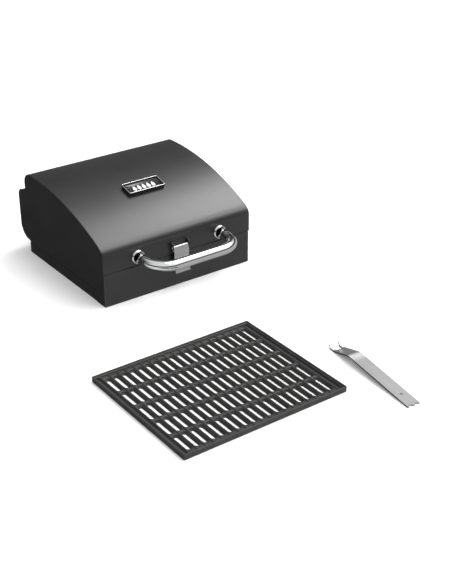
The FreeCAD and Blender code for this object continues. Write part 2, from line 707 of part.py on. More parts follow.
def latch_plate():
    """The stainless latch: an eye rolled round the pin, a stepped plate and a flared finger lip."""
    half = LATCH_WIDTH / 2
    bore_radius = LATCH_PIN_RADIUS + ROD_RUNNING_GAP
    eye_radius = bore_radius + LATCH_SHEET
    path = [(LATCH_PIN_Y - eye_radius, LATCH_PIN_Z), LATCH_SHOULDER, LATCH_STEP, LATCH_FLARE, LATCH_LIP]
    plate = across(folded(path, LATCH_SHEET, LATCH_BEND), -half, half)
    eye_end = (-half, LATCH_PIN_Y, LATCH_PIN_Z)
    eye = rod(eye_end, X_AXIS, eye_radius, LATCH_WIDTH)
    latch = plate.fuse(eye).removeSplitter()
    latch = latch.cut(rod(eye_end, X_AXIS, bore_radius, LATCH_WIDTH))
    return latch.cut(latch_rivet_holes())


def latch_hook():
    """The spring-steel hook riveted behind the latch, with a lip that catches under the strike."""
    top = on_latch(0, HOOK_TOP_Z, LATCH_SHEET)
    knee = on_latch(0, HOOK_LIP_Z, LATCH_SHEET)
    path = [(top.y, top.z), (knee.y, knee.z), (HOOK_LIP_Y, knee.z)]
    hook = across(folded(path, HOOK_SHEET, HOOK_BEND), -HOOK_HALF_WIDTH, HOOK_HALF_WIDTH)
    return hook.cut(latch_rivet_holes())


def latch_hook_rivets():
    grip = LATCH_SHEET + HOOK_SHEET
    places = [on_latch(x, LATCH_RIVET_Z, 0) for x in LATCH_RIVET_X]
    return group([rivet(place, through_latch(), LATCH_RIVET_RADIUS, grip) for place in places])


def latch_strike():
    """The folded catch on the body's front."""
    width = (-STRIKE_HALF_WIDTH, STRIKE_HALF_WIDTH)
    back = block(width, (-STRIKE_SHEET, 0), STRIKE_Z)
    lip = block(width, (STRIKE_LIP_Y, 0), (STRIKE_LIP_Z - STRIKE_SHEET, STRIKE_LIP_Z))
    strike = back.fuse(lip).removeSplitter()
    holes = [rod(place, Y_AXIS, SMALL_RIVET_RADIUS, STRIKE_SHEET) for place in strike_rivet_places()]
    return strike.cut(group(holes))


def strike_rivet_places():
    return [(x, -STRIKE_SHEET, STRIKE_RIVET_Z) for x in STRIKE_RIVET_X]


def strike_rivets():
    grip = SHEET + STRIKE_SHEET
    return group([rivet(place, Y_AXIS, SMALL_RIVET_RADIUS, grip) for place in strike_rivet_places()])


# ---- badge ----
def rounded_plate(width, height, low, high, corner):
    """A plate centred on the badge's own axes, with rounded upright corners."""
    plate = block((-width / 2, width / 2), (-height / 2, height / 2), (low, high))
    upright = [edge for edge in plate.Edges if abs(edge.tangentAt(0).z) > 0.9]
    return plate.makeFillet(corner, upright)


def on_badge(shape):
    shape.Placement = badge_frame().multiply(shape.Placement)
    return shape


def badge_plate():
    """The black badge body, seated on the curved skin, with a recessed face and two studs."""
    width, height = BADGE_SIZE
    body = rounded_plate(width, height, -STUD_REACH[1], BADGE_HEIGHT, BADGE_CORNER)
    inner_width = width - 2 * BADGE_WALL
    inner_height = height - 2 * BADGE_WALL
    floor = BADGE_HEIGHT - BADGE_RECESS
    recess = rounded_plate(inner_width, inner_height, floor, BADGE_HEIGHT, BADGE_CORNER / 2)
    body = on_badge(body.cut(recess))
    body = body.cut(across(lid_profile(), -width, width))
    low, high = STUD_REACH
    stud = Part.makeCylinder(STUD_RADIUS, high - low, Vector(0, 0, low))
    studs = [on_badge(stud.translated(Vector(x, 0, 0))) for x in (-STUD_X, STUD_X)]
    return body.fuse(studs).removeSplitter()


def badge_rim():
    """The bright frame round the badge's face."""
    width, height = BADGE_SIZE
    top = BADGE_HEIGHT + BADGE_RIM_HEIGHT
    ring = rounded_plate(width, height, BADGE_HEIGHT, top, BADGE_CORNER)
    inner_width = width - 2 * BADGE_RIM
    inner_height = height - 2 * BADGE_RIM
    inside = rounded_plate(inner_width, inner_height, BADGE_HEIGHT, top, BADGE_CORNER / 2)
    return on_badge(ring.cut(inside))


def badge_push_nuts():
    low = -SHEET - PUSH_NUT_GAP - PUSH_NUT_THICKNESS
    nuts = []
    for x in (-STUD_X, STUD_X):
        nut = Part.makeCylinder(PUSH_NUT_RADIUS, PUSH_NUT_THICKNESS, Vector(x, 0, low))
        bore = Part.makeCylinder(STUD_RADIUS, PUSH_NUT_THICKNESS, Vector(x, 0, low))
        nuts.append(on_badge(nut.cut(bore)))
    return group(nuts)


# ---- grate ----
def capsule(centre, width, length, low, high):
    """An upright slot-shaped prism, long along Y."""
    straight = (length - width) / 2
    x, y = centre
    middle = block((x - width / 2, x + width / 2), (y - straight, y + straight), (low, high))
    ends = [Part.makeCylinder(width / 2, high - low, Vector(x, y + s * straight, low)) for s in (-1, 1)]
    return middle.fuse(ends).removeSplitter()


def grate():
    """One casting: a stepped rim round a field of pocketed slots, with ridges between the columns."""
    width, depth, height = GRATE_SIZE
    plate = block((-width / 2, width / 2), (-depth / 2, depth / 2), (0, height))
    plate = plate.makeFillet(GRATE_CORNER, [e for e in plate.Edges if abs(e.tangentAt(0).z) > 0.9])
    step_width, step_z = GRATE_STEP
    for margin, floor in ((GRATE_RIM, step_z), (GRATE_RIM + step_width, GRATE_FIELD_Z)):
        inside_x = width / 2 - margin
        inside_y = depth / 2 - margin
        plate = plate.cut(block((-inside_x, inside_x), (-inside_y, inside_y), (floor, height)))
    ridge_width, ridge_z = GRATE_RIDGE
    ridges = []
    for column in range(SLOT_COLUMNS + 1):
        x = (column - SLOT_COLUMNS / 2) * SLOT_PITCH[0]
        across_x = (x - ridge_width / 2, x + ridge_width / 2)
        ridges.append(block(across_x, (-inside_y, inside_y), (POCKET_DEPTH, ridge_z)))
    plate = plate.fuse(ridges).removeSplitter()
    cuts = []
    for column in range(SLOT_COLUMNS):
        for row in range(SLOT_ROWS):
            x = (column - (SLOT_COLUMNS - 1) / 2) * SLOT_PITCH[0]
            y = (row - (SLOT_ROWS - 1) / 2) * SLOT_PITCH[1]
            slot = capsule((x, y), SLOT_WIDTH, SLOT_LENGTH, 0, GRATE_FIELD_Z)
            pocket = capsule((x, y), POCKET_WIDTH, POCKET_LENGTH, GRATE_FIELD_Z - POCKET_DEPTH, GRATE_FIELD_Z)
            cuts.append(slot.fuse(pocket).removeSplitter())
    near, far = GRATE_GROOVE
    for low, high in ((near, far), (-far, -near)):
        cuts.append(block((low, high), (-inside_y, inside_y), (GROOVE_Z, GRATE_FIELD_Z)))
    plate = plate.cut(group(cuts))
    plate.translate(Vector(*GRATE_CENTRE, 0))
    return plate


# ---- lifter ----
def lifter():
    """A flat bar that stands on its two ends: a crested bar, a sloping head and two raised prongs."""
    half = LIFTER_WIDTH / 2
    root = LIFTER_BAR + LIFTER_HEAD
    tip = root + PRONG_TIP[0]
    bar = across(rounded_outline(lifter_corners()), -half, half)
    fork = half - PRONG_WIDTH
    bar = bar.cut(block((-fork, fork), (root - 2, tip + 5), (-5, 30)))
    bar = bar.common(lifter_plan())
    for x in (-NOTCH_X, NOTCH_X):
        bar = bar.cut(Part.makeCylinder(NOTCH_RADIUS, 20, Vector(x, 0, -5)))
    tilt = math.degrees(math.atan2(LIFTER_CREST, LIFTER_BAR))
    hole = Part.makeCylinder(HANG_HOLE_RADIUS, 20, Vector(0, 0, -10))
    hole.rotate(Vector(0, 0, 0), X_AXIS, tilt)
    hole.translate(Vector(0, HANG_HOLE_FROM_END, HANG_HOLE_FROM_END * math.tan(math.radians(tilt))))
    bar = bar.cut(hole)
    bar.rotate(Vector(0, 0, 0), Z_AXIS, LIFTER_TURN)
    bar.translate(Vector(*LIFTER_END, -bar.BoundBox.ZMin))
    return bar


def lifter_plan():
    """The lifter's outline seen from above, with round prong tips."""
    half = LIFTER_WIDTH / 2
    radius = PRONG_WIDTH / 2
    last = LIFTER_BAR + LIFTER_HEAD + PRONG_TIP[0] - radius
    plan = block((-half, half), (0, last), (-5, 30))
    tips = [Part.makeCylinder(radius, 35, Vector(x, last, -5)) for x in (radius - half, half - radius)]
    return plan.fuse(tips)


def lifter_corners():
    """The strip's outline: a bent path and the same path raised by the sheet's thickness."""
    root = LIFTER_BAR + LIFTER_HEAD
    lower = [
        (0, 0, 0),
        (LIFTER_BAR, LIFTER_CREST, LIFTER_CREST_BEND),
        (root, 0, LIFTER_ROOT_BEND),
        (root + PRONG_KNEE[0], PRONG_KNEE[1], LIFTER_ROOT_BEND),
        (root + PRONG_TIP[0], PRONG_TIP[1], 0),
    ]
    upper = [(y, z + LIFTER_SHEET, r) for y, z, r in lower]
    return lower + upper[::-1]


def build():
    os.makedirs("parts", exist_ok=True)
    save("base_frame", base_frame())
    save("front_panel", front_panel())
    save("rear_panel", rear_panel())
    save("deflector_brackets", deflector_brackets())
    save("heat_deflector", heat_deflector())
    save("hinge_rod", hinge_rod())
    save("rod_clips", rod_clips())
    save("hinge_arm_rivets", hinge_arm_rivets())
    save("lid_skin", lid_skin())
    save("handle_tube", handle_tube())
    save("handle_end_plugs", handle_end_plugs())
    save("handle_washers", handle_washers())
    save("handle_bolts", handle_bolts())
    save("latch_bracket", latch_bracket())
    save("latch_bracket_rivets", latch_bracket_rivets())
    save("latch_pin", latch_pin())
    save("latch_plate", latch_plate())
    save("latch_hook", latch_hook())
    save("latch_hook_rivets", latch_hook_rivets())
    save("latch_strike", latch_strike())
    save("strike_rivets", strike_rivets())
    save("badge_plate", badge_plate())
    save("badge_rim", badge_rim())
    save("badge_push_nuts", badge_push_nuts())
    save("grate", grate())
    save("grate_lifter", lifter())
    for name, side in SIDES.items():
        save("side_panel_" + name, side_panel(side))
        save("lid_side_" + name, lid_side(side))
        save("grate_ledge_" + name, grate_ledge(side))
        save("rod_saddle_" + name, rod_saddle(side))
        save("hinge_arm_" + name, hinge_arm(side))
        save("handle_bezel_" + name, handle_bezel(side))


build()
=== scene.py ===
"""Looks of the lidded camp grill: finished sheet-metal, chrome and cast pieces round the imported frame."""

import json
import math

import bmesh
import bpy
from mathutils import Matrix, Vector


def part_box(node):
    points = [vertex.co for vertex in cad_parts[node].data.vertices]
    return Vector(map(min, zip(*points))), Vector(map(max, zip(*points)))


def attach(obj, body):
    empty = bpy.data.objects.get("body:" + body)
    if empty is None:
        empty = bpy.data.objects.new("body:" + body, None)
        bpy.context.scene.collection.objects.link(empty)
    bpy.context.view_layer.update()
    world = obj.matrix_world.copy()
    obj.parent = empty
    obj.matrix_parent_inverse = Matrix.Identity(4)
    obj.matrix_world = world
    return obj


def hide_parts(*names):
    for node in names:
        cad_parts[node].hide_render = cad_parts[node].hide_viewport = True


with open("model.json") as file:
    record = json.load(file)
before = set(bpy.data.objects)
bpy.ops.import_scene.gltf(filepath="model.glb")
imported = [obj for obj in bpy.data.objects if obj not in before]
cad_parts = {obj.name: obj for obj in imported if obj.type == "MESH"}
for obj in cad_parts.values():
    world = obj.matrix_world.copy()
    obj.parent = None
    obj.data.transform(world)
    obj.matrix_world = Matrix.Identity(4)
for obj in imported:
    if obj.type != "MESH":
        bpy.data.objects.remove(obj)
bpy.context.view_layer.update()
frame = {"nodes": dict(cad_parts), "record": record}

MM = 0.001
FRONT_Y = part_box("front_panel")[0].y / MM

# ---- dimensions of the sheets, in millimetres, with y measured from the front face of the box ----
SHEET = 1.2
LID_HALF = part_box("lid_side_right")[1].x / MM
SEAM_Z = 82.0
CREASE = (0.0, 139.2)
CREASE_RADII = (23.0, 62.0)
CREASE_SPLIT = 126.0
LID_MIDDLE = (150.0, 196.6)
LID_REAR = (365.0, 214.4)
LID_REAR_RADIUS = 28.0
LID_REAR_BOTTOM = 166.5
FLANGE = ((39.0, 82.0), (190.0, 145.0), (365.0, 166.5))
CHEEK_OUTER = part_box("side_panel_right")[1].x / MM
BODY_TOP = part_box("front_panel")[1].z / MM
HANDLE_X = 115.0
HANDLE_Z = 105.5
HANDLE_REACH = 88.0
HANDLE_BEND = 51.0
TUBE_RADIUS = 12.7


def at(x, y, z):
    """Metres in the row frame, from millimetres with y measured from the box's front face."""
    return Vector((x * MM, (y + FRONT_Y) * MM, z * MM))


# ---- materials ----
class Nodes:
    """A material's node tree, with short calls for the nodes that the finishes share."""

    def __init__(self, name, metallic=0.0, ior=1.5):
        self.material = bpy.data.materials.new(name)
        self.material.use_nodes = True
        self.tree = self.material.node_tree
        self.shader = self.tree.nodes["Principled BSDF"]
        self.shader.inputs["Metallic"].default_value = metallic
        self.shader.inputs["IOR"].default_value = ior
        self.coords = self.tree.nodes.new("ShaderNodeTexCoord").outputs["Object"]

    def link(self, a, b):
        self.tree.links.new(a, b)

    def stretched(self, scale, turn=(0.0, 0.0, 0.0)):
        node = self.tree.nodes.new("ShaderNodeMapping")
        node.inputs["Scale"].default_value = scale
        node.inputs["Rotation"].default_value = turn
        self.link(self.coords, node.inputs["Vector"])
        return node.outputs["Vector"]

    def noise(self, scale, detail=2.0, rough=0.5, vector=None):
        node = self.tree.nodes.new("ShaderNodeTexNoise")
        node.inputs["Scale"].default_value = scale
        node.inputs["Detail"].default_value = detail
        node.inputs["Roughness"].default_value = rough
        self.link(vector or self.coords, node.inputs["Vector"])
        return node.outputs["Fac"]

    def cells(self, scale):
        node = self.tree.nodes.new("ShaderNodeTexVoronoi")
        node.inputs["Scale"].default_value = scale
        self.link(self.coords, node.inputs["Vector"])
        return node.outputs["Color"]

    def ramp(self, value, low, high, start=0.3, end=0.7):
        """Colours or greys from low to high as value goes from start to end."""
        node = self.tree.nodes.new("ShaderNodeValToRGB")
        stops = node.color_ramp.elements
        for stop, place, colour in ((stops[0], start, low), (stops[1], end, high)):
            stop.position = place
            stop.color = (*colour, 1) if isinstance(colour, tuple) else (colour, colour, colour, 1)
        self.link(value, node.inputs["Fac"])
        return node.outputs["Color"]

    def mixed(self, a, b, share=0.5):
        node = self.tree.nodes.new("ShaderNodeMix")
        node.data_type = "FLOAT"
        node.inputs["Factor"].default_value = share
        self.link(a, node.inputs["A"])
        self.link(b, node.inputs["B"])
        return node.outputs["Result"]

    def rise(self, low, high):
        """A share that goes from 0 to 1 as the height above the base goes from low to high, in metres."""
        split = self.tree.nodes.new("ShaderNodeSeparateXYZ")
        self.link(self.coords, split.inputs["Vector"])
        node = self.tree.nodes.new("ShaderNodeMapRange")
        node.inputs["From Min"].default_value = low
        node.inputs["From Max"].default_value = high
        self.link(split.outputs["Z"], node.inputs["Value"])
        return node.outputs["Result"]

    def blended(self, share, a, b):
        """Colour a where the share is 0 and the plain grey b where it is 1."""
        node = self.tree.nodes.new("ShaderNodeMix")
        node.data_type = "RGBA"
        node.inputs["B"].default_value = (b, b, b, 1)
        self.link(share, node.inputs["Factor"])
        self.link(a, node.inputs["A"])
        return node.outputs["Result"]

    def relief(self, height, strength, depth_mm):
        node = self.tree.nodes.new("ShaderNodeBump")
        node.inputs["Strength"].default_value = strength
        node.inputs["Distance"].default_value = depth_mm * MM
        self.link(height, node.inputs["Height"])
        self.link(node.outputs["Normal"], self.shader.inputs["Normal"])

    def colour(self, socket):
        self.link(socket, self.shader.inputs["Base Color"])

    def roughness(self, socket):
        self.link(socket, self.shader.inputs["Roughness"])


def powder_coat():
    """Satin black powder: a fine orange-peel skin with faint mottling."""
    n = Nodes("powder_coat_satin", ior=1.55)
    n.colour(n.ramp(n.noise(9.0, 3.0), (0.0112, 0.0112, 0.0118), (0.0152, 0.0152, 0.0158)))
    n.roughness(n.ramp(n.noise(240.0, 3.0), 0.32, 0.38))
    n.relief(n.mixed(n.noise(1300.0, 2.0), n.noise(420.0, 2.0), 0.35), 0.35, 0.05)
    return n.material


def chrome():
    """Polished plate over tube, with the faint haze of handling."""
    n = Nodes("chrome_polished", metallic=1.0)
    n.colour(n.ramp(n.noise(30.0, 2.0), (0.64, 0.645, 0.655), (0.70, 0.705, 0.71)))
    n.roughness(n.ramp(n.noise(90.0, 4.0), 0.045, 0.10))
    n.relief(n.noise(55.0, 2.0), 0.10, 0.05)
    return n.material


def brushed(name, dark, light, scale, rough):
    """Rolled steel sheet with fine lines along one direction."""
    n = Nodes(name, metallic=1.0)
    lines = n.noise(1.0, 4.0, 0.6, n.stretched(scale))
    clouds = n.noise(35.0, 3.0)
    grain = n.mixed(lines, clouds, 0.3)
    n.colour(n.ramp(grain, dark, light))
    n.roughness(n.ramp(lines, *rough))
    n.relief(lines, 0.25, 0.02)
    return n.material


def zinc():
    """Zinc-plated fasteners: cool grey with a mottled, slightly milky surface."""
    n = Nodes("zinc_plate", metallic=1.0)
    n.colour(n.ramp(n.noise(160.0, 4.0), (0.40, 0.41, 0.43), (0.56, 0.565, 0.57)))
    n.roughness(n.ramp(n.noise(400.0, 3.0), 0.28, 0.45))
    n.relief(n.noise(900.0, 2.0), 0.15, 0.03)
    return n.material


def aluminised():
    """Hot-dipped sheet with a small spangle."""
    n = Nodes("aluminised_sheet", metallic=1.0)
    n.colour(n.ramp(n.cells(140.0), (0.34, 0.34, 0.35), (0.50, 0.50, 0.51), 0.1, 0.9))
    n.roughness(n.ramp(n.cells(140.0), 0.34, 0.55, 0.1, 0.9))
    n.relief(n.noise(300.0, 3.0), 0.2, 0.05)
    return n.material


def cast_iron():
    """Seasoned sand casting: a coarse grain with duller and oilier patches."""
    n = Nodes("cast_iron_seasoned", ior=1.42)
    n.colour(n.ramp(n.noise(45.0, 4.0), (0.027, 0.0266, 0.0262), (0.041, 0.0402, 0.0394)))
    n.roughness(n.ramp(n.noise(120.0, 4.0), 0.36, 0.50))
    n.relief(n.mixed(n.noise(900.0, 3.0), n.noise(260.0, 3.0), 0.4), 0.4, 0.12)
    return n.material


def enamel(name, dark, light, rough=(0.16, 0.24)):
    n = Nodes(name)
    n.colour(n.ramp(n.noise(120.0, 3.0), dark, light))
    n.roughness(n.ramp(n.noise(500.0, 2.0), *rough))
    n.relief(n.noise(700.0, 2.0), 0.12, 0.03)
    return n.material


def floor_paper(name, glow=0.0):
    n = Nodes(name)
    tone = n.ramp(n.noise(4.0, 3.0), (0.90, 0.90, 0.90), (0.93, 0.93, 0.93))
    n.colour(tone)
    n.link(tone, n.shader.inputs["Emission Color"])
    n.shader.inputs["Emission Strength"].default_value = glow
    n.roughness(n.ramp(n.noise(60.0, 2.0), 0.75, 0.85))
    return n.material


LOOKS = {
    "powder_coat": powder_coat(),
    "chrome": chrome(),
    "stainless": brushed(
        "stainless_latch", (0.46, 0.46, 0.46), (0.60, 0.60, 0.595), scale=(900.0, 900.0, 22.0), rough=(0.34, 0.48),
    ),
    "cast_iron": cast_iron(),
    "zinc_steel": zinc(),
    "aluminised_steel": aluminised(),
    "badge_black": enamel("badge_enamel", (0.010, 0.010, 0.011), (0.016, 0.016, 0.017)),
}
LIFTER_TURN = math.radians(-5.2)
# height band in metres and grey of the painted highlight over the lifter's crest; the same grey also sets the
# band's roughness
CREST_HIGHLIGHT_HEIGHTS = (0.0160, 0.0176)
CREST_HIGHLIGHT_VALUE = 0.62


def lifter_steel():
    """Satin stainless with lines along the bar, and a painted highlight: a matt, paler band stretched over the
    crest of the bend, where the light catches it.
    """
    n = Nodes("stainless_lifter", metallic=1.0)
    lines = n.noise(1.0, 4.0, 0.6, n.stretched((1100.0, 18.0, 1100.0), (0.0, 0.0, -LIFTER_TURN)))
    grain = n.mixed(lines, n.noise(35.0, 3.0), 0.15)
    # painted highlight: over the crest of the bend the colour turns to a plain pale grey
    crest_highlight_share = n.rise(*CREST_HIGHLIGHT_HEIGHTS)
    n.colour(n.blended(crest_highlight_share, n.ramp(grain, (0.34, 0.34, 0.337), (0.40, 0.40, 0.397)), CREST_HIGHLIGHT_VALUE))
    n.roughness(n.blended(crest_highlight_share, n.ramp(lines, 0.26, 0.36), CREST_HIGHLIGHT_VALUE))
    n.relief(lines, 0.25, 0.02)
    return n.material


LIFTER_STEEL = lifter_steel()


# ---- outlines ----
def rounded(corners, closed=True, step=10.0):
    """Points of an outline through (a, b, radius) corners, with an arc at each rounded corner."""
    points = []
    count = len(corners)
    for i, (a, b, radius) in enumerate(corners):
        here = Vector((a, b))
        if radius == 0 or (not closed and i in (0, count - 1)):
            points.append(here)
            continue
        back = (Vector(corners[i - 1][:2]) - here).normalized()
        ahead = (Vector(corners[(i + 1) % count][:2]) - here).normalized()
        half = back.angle(ahead) / 2
        centre = here + (back + ahead).normalized() * (radius / math.sin(half))
        start = here + back * (radius / math.tan(half)) - centre
        end = here + ahead * (radius / math.tan(half)) - centre
        turn = (math.pi - 2 * half) * (1 if start.cross(end) > 0 else -1)
        steps = max(2, round(math.degrees(abs(turn)) / step))
        for k in range(steps + 1):
            points.append(centre + Matrix.Rotation(turn * k / steps, 2) @ start)
    return points


def circle_through(a, b, c):
    """Centre and radius of the circle through three points."""
    (ax, ay), (bx, by), (cx, cy) = a, b, c
    d = 2 * (ax * (by - cy) + bx * (cy - ay) + cx * (ay - by))
    sa, sb, sc = ax * ax + ay * ay, bx * bx + by * by, cx * cx + cy * cy
    x = (sa * (by - cy) + sb * (cy - ay) + sc * (ay - by)) / d
    y = (sa * (cx - bx) + sb * (ax - cx) + sc * (bx - ax)) / d
    return Vector((x, y)), math.hypot(ax - x, ay - y)


def arc_between(centre, radius, start_y, end_y, count):
    """Points of the upper part of a circle, evenly spaced between two values of y."""
    a = math.acos((start_y - centre.x) / radius)
    b = math.acos((end_y - centre.x) / radius)
    angles = [a + (b - a) * i / count for i in range(count + 1)]
    return [centre + Vector((math.cos(t), math.sin(t))) * radius for t in angles]


def fillet_points(centre, radius, start, end, count):
    """Points of a small arc about centre, between two angles in degrees."""
    angles = [math.radians(start + (end - start) * i / count) for i in range(count + 1)]
    return [centre + Vector((math.cos(t), math.sin(t))) * radius for t in angles]


def lid_top_profile(inset=0.0):
    """The lid's outline in the side view: a crease that opens up gently, the long arc and the rear corner."""
    centre, radius = circle_through(CREASE, LID_MIDDLE, LID_REAR)

    def direction(degrees):
        return Vector((math.cos(math.radians(degrees)), math.sin(math.radians(degrees))))

    def heading(point):
        return math.degrees(math.atan2(point.y - centre.y, point.x - centre.x))

    tight, gentle = CREASE_RADII
    over_y = tight - (gentle - tight) * direction(CREASE_SPLIT).x
    over = Vector((over_y, centre.y + math.sqrt((radius - gentle) ** 2 - (over_y - centre.x) ** 2)))
    front = over + direction(CREASE_SPLIT) * (gentle - tight)
    rear_y = LID_REAR[0] - LID_REAR_RADIUS
    rear = Vector((rear_y, centre.y + math.sqrt((radius - LID_REAR_RADIUS) ** 2 - (rear_y - centre.x) ** 2)))
    on_front = over + direction(heading(over)) * gentle
    on_rear = rear + direction(heading(rear)) * LID_REAR_RADIUS
    points = fillet_points(front, tight - inset, 180, CREASE_SPLIT, 12)
    points += fillet_points(over, gentle - inset, CREASE_SPLIT, heading(over), 10)[1:]
    points += arc_between(centre, radius - inset, on_front.x, on_rear.x, 72)[1:-1]
    points += fillet_points(rear, LID_REAR_RADIUS - inset, heading(rear), 0, 12)
    return points


def thickened(path, thickness):
    """A closed outline: the path, and the path moved to its left by the sheet's thickness."""
    moved = []
    for i, here in enumerate(path):
        before = (here - path[i - 1]).normalized() if i else (path[1] - here).normalized()
        after = (path[i + 1] - here).normalized() if i + 1 < len(path) else before
        middle = (before + after).normalized()
        left = Vector((-middle.y, middle.x))
        moved.append(here + left * (thickness / max(left.dot(Vector((-after.y, after.x))), 0.3)))
    return list(path) + moved[::-1]


# ---- mesh building ----
def object_from(name, mesh_builder):
    """An object whose mesh is what the builder leaves in a bmesh, in metres and with sound normals."""
    mesh = bpy.data.meshes.new(name)
    bm = bmesh.new()
    mesh_builder(bm)
    bmesh.ops.recalc_face_normals(bm, faces=bm.faces)
    for face in bm.faces:
        face.smooth = True
    bm.to_mesh(mesh)
    bm.free()
    obj = bpy.data.objects.new(name, mesh)
    bpy.context.scene.collection.objects.link(obj)
    return obj


def add_prism(bm, outline, low, high, place):
    """A closed solid between two copies of an outline. place(u, v, w) gives a point in metres."""
    ends = [[bm.verts.new(place(p.x, p.y, w)) for p in outline] for w in (low, high)]
    for end in ends:
        bm.faces.new(end)
    count = len(outline)
    for i in range(count):
        j = (i + 1) % count
        bm.faces.new((ends[0][i], ends[0][j], ends[1][j], ends[1][i]))


def along_x(u, v, w):
    return at(w, u, v)


def along_y(u, v, w):
    return at(u, w, v)


def along_z(u, v, w):
    return at(u, v, w)


def add_lathe(bm, profile, segments, place):
    """A turned ring from a closed (radius, depth) profile. place(x, y, depth) gives a point."""
    loops = []
    for k in range(segments):
        t = 2 * math.pi * k / segments
        loops.append([bm.verts.new(place(r * math.cos(t), r * math.sin(t), d)) for r, d in profile])
    count = len(profile)
    for k in range(segments):
        a, b = loops[k], loops[(k + 1) % segments]
        for i in range(count):
            j = (i + 1) % count
            bm.faces.new((a[i], a[j], b[j], b[i]))


def soften(obj, width_mm, segments=2, angle=35.0):
    """Round the hard edges a little, as folding, grinding and coating leave them."""
    bevel = obj.modifiers.new("soft_edges", "BEVEL")
    bevel.width = width_mm * MM
    bevel.segments = segments
    bevel.limit_method = "ANGLE"
    bevel.angle_limit = math.radians(angle)
    bevel.harden_normals = True
    bevel.use_clamp_overlap = True
    obj.modifiers.new("even_normals", "WEIGHTED_NORMAL").keep_sharp = True


def settle(obj, body, slot, nodes, material=None):
    """Give a finished piece its material, its body and the CAD nodes that it stands for."""
    obj.data.materials.append(material or LOOKS[slot])
    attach(obj, body)
    if nodes:
        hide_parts(*nodes)
    return obj


# ---- the box ----
RETURN_DEPTH = 38.0
FRONT_BEND = 2.2
HEM_END = 14.0


def front_sheet(bm):
    """The front with its two corner returns and the hem turned in at the top."""
    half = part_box("front_panel")[1].x / MM
    path = [(-half, RETURN_DEPTH, 0), (-half, 0, FRONT_BEND), (half, 0, FRONT_BEND), (half, RETURN_DEPTH, 0)]
    path = rounded(path, closed=False)
    add_prism(bm, thickened(path, SHEET), 0.0, BODY_TOP, along_z)
    inner = CHEEK_OUTER - SHEET
    low = BODY_TOP - SHEET
    hem = [Vector(p) for p in ((SHEET, low), (HEM_END, low), (HEM_END, BODY_TOP), (SHEET, BODY_TOP))]
    add_prism(bm, hem, -inner, inner, along_x)


CHEEK_LAP = 12.0
CHEEK_TOP = (30.0, 347.0)


def cheek_outline():
    """The side sheet: up inside the lid's flange, with the rounded ear behind."""
    centre, radius = circle_through(*FLANGE)
    top = arc_between(centre, radius + CHEEK_LAP, *CHEEK_TOP, 40)[::-1]
    rear = [(363.3, 1.2, 0), (363.3, 26.4, 0), (366.3, 26.4, 0), (366.3, 29, 1.5), (386, 31.5, 8), (401, 41.5, 8)]
    rear += [(410, 57, 8), (411, 112, 8), (410.5, 146, 5), (403, 157, 5), (377, 165.2, 6), (357, 165, 3)]
    front = [(16, 79, 3), (2 * SHEET, 79, 0), (2 * SHEET, SHEET, 0)]
    corners = rear + [(p.x, p.y, 0) for p in top] + front
    return rounded(corners)


def rear_sheet(bm):
    """The rear wall: up, out into the housing behind the lid, and in again to a hem at the top."""
    foot_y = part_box("rear_panel")[0].y / MM - FRONT_Y + SHEET
    path = [(foot_y, 2, 0), (foot_y, 32, 1.8), (385, 34, 6), (399.4, 43.6, 8), (408.2, 58.5, 8), (409.2, 112, 40)]
    path = rounded(path + [(408.7, 145, 6), (402.4, 156, 0)], closed=False)
    inner = CHEEK_OUTER - SHEET
    add_prism(bm, thickened(path, SHEET), -inner, inner, along_x)
    hem = [(406.2, 149.3, 0), (402.5, 155.8, 0.8), (400.4, 154.7, 0.8), (404.3, 147.9, 0)]
    add_prism(bm, rounded(hem), -inner, inner, along_x)


def build_box():
    settle(object_from("front_sheet", front_sheet), "box", "powder_coat", ["front_panel"])
    outline = cheek_outline()
    for name, side in (("left", -1), ("right", 1)):
        low, high = sorted((side * (CHEEK_OUTER - SHEET), side * CHEEK_OUTER))
        cheek = object_from("cheek_" + name, lambda bm: add_prism(bm, outline, low, high, along_x))
        settle(cheek, "box", "powder_coat", ["side_panel_" + name])
    settle(object_from("rear_sheet", rear_sheet), "box", "powder_coat", ["rear_panel"])
    for name in ("front_sheet", "cheek_left", "cheek_right", "rear_sheet"):
        soften(bpy.data.objects[name], 0.35)


# ---- the lid ----
def lid_sheet(bm):
    half = LID_HALF - SHEET
    outer = [Vector((12.0, SEAM_Z)), Vector((1.6, SEAM_Z))]
    outer += fillet_points(Vector((1.6, SEAM_Z + 1.6)), 1.6, 270, 180, 4)[1:]
    outer += lid_top_profile() + [Vector((LID_REAR[0], LID_REAR_BOTTOM))]
    inner = [Vector((12.0, SEAM_Z + SHEET)), Vector((1.6, SEAM_Z + SHEET)), Vector((SHEET, SEAM_Z + 1.6))]
    inner += lid_top_profile(SHEET) + [Vector((LID_REAR[0] - SHEET, LID_REAR_BOTTOM))]
    add_prism(bm, outer + inner[::-1], -half, half, along_x)


def crescent_outline():
    centre, radius = circle_through(*FLANGE)
    lower = arc_between(centre, radius, FLANGE[0][0], FLANGE[2][0], 48)
    outline = [Vector((1.6, SEAM_Z))] + fillet_points(Vector((1.6, SEAM_Z + 1.6)), 1.6, 270, 180, 4)[1:]
    return outline + lid_top_profile() + lower[::-1]


def build_lid():
    skin = object_from("lid_sheet", lid_sheet)
    settle(skin, "lid", "powder_coat", ["lid_skin"])
    soften(skin, 0.12)
    outline = crescent_outline()
    for name, side in (("left", -1), ("right", 1)):
        low, high = sorted((side * (LID_HALF - SHEET), side * LID_HALF))
        crescent = object_from("lid_crescent_" + name, lambda bm: add_prism(bm, outline, low, high, along_x))
        settle(crescent, "lid", "powder_coat", ["lid_side_" + name])
        soften(crescent, 0.45, 3)


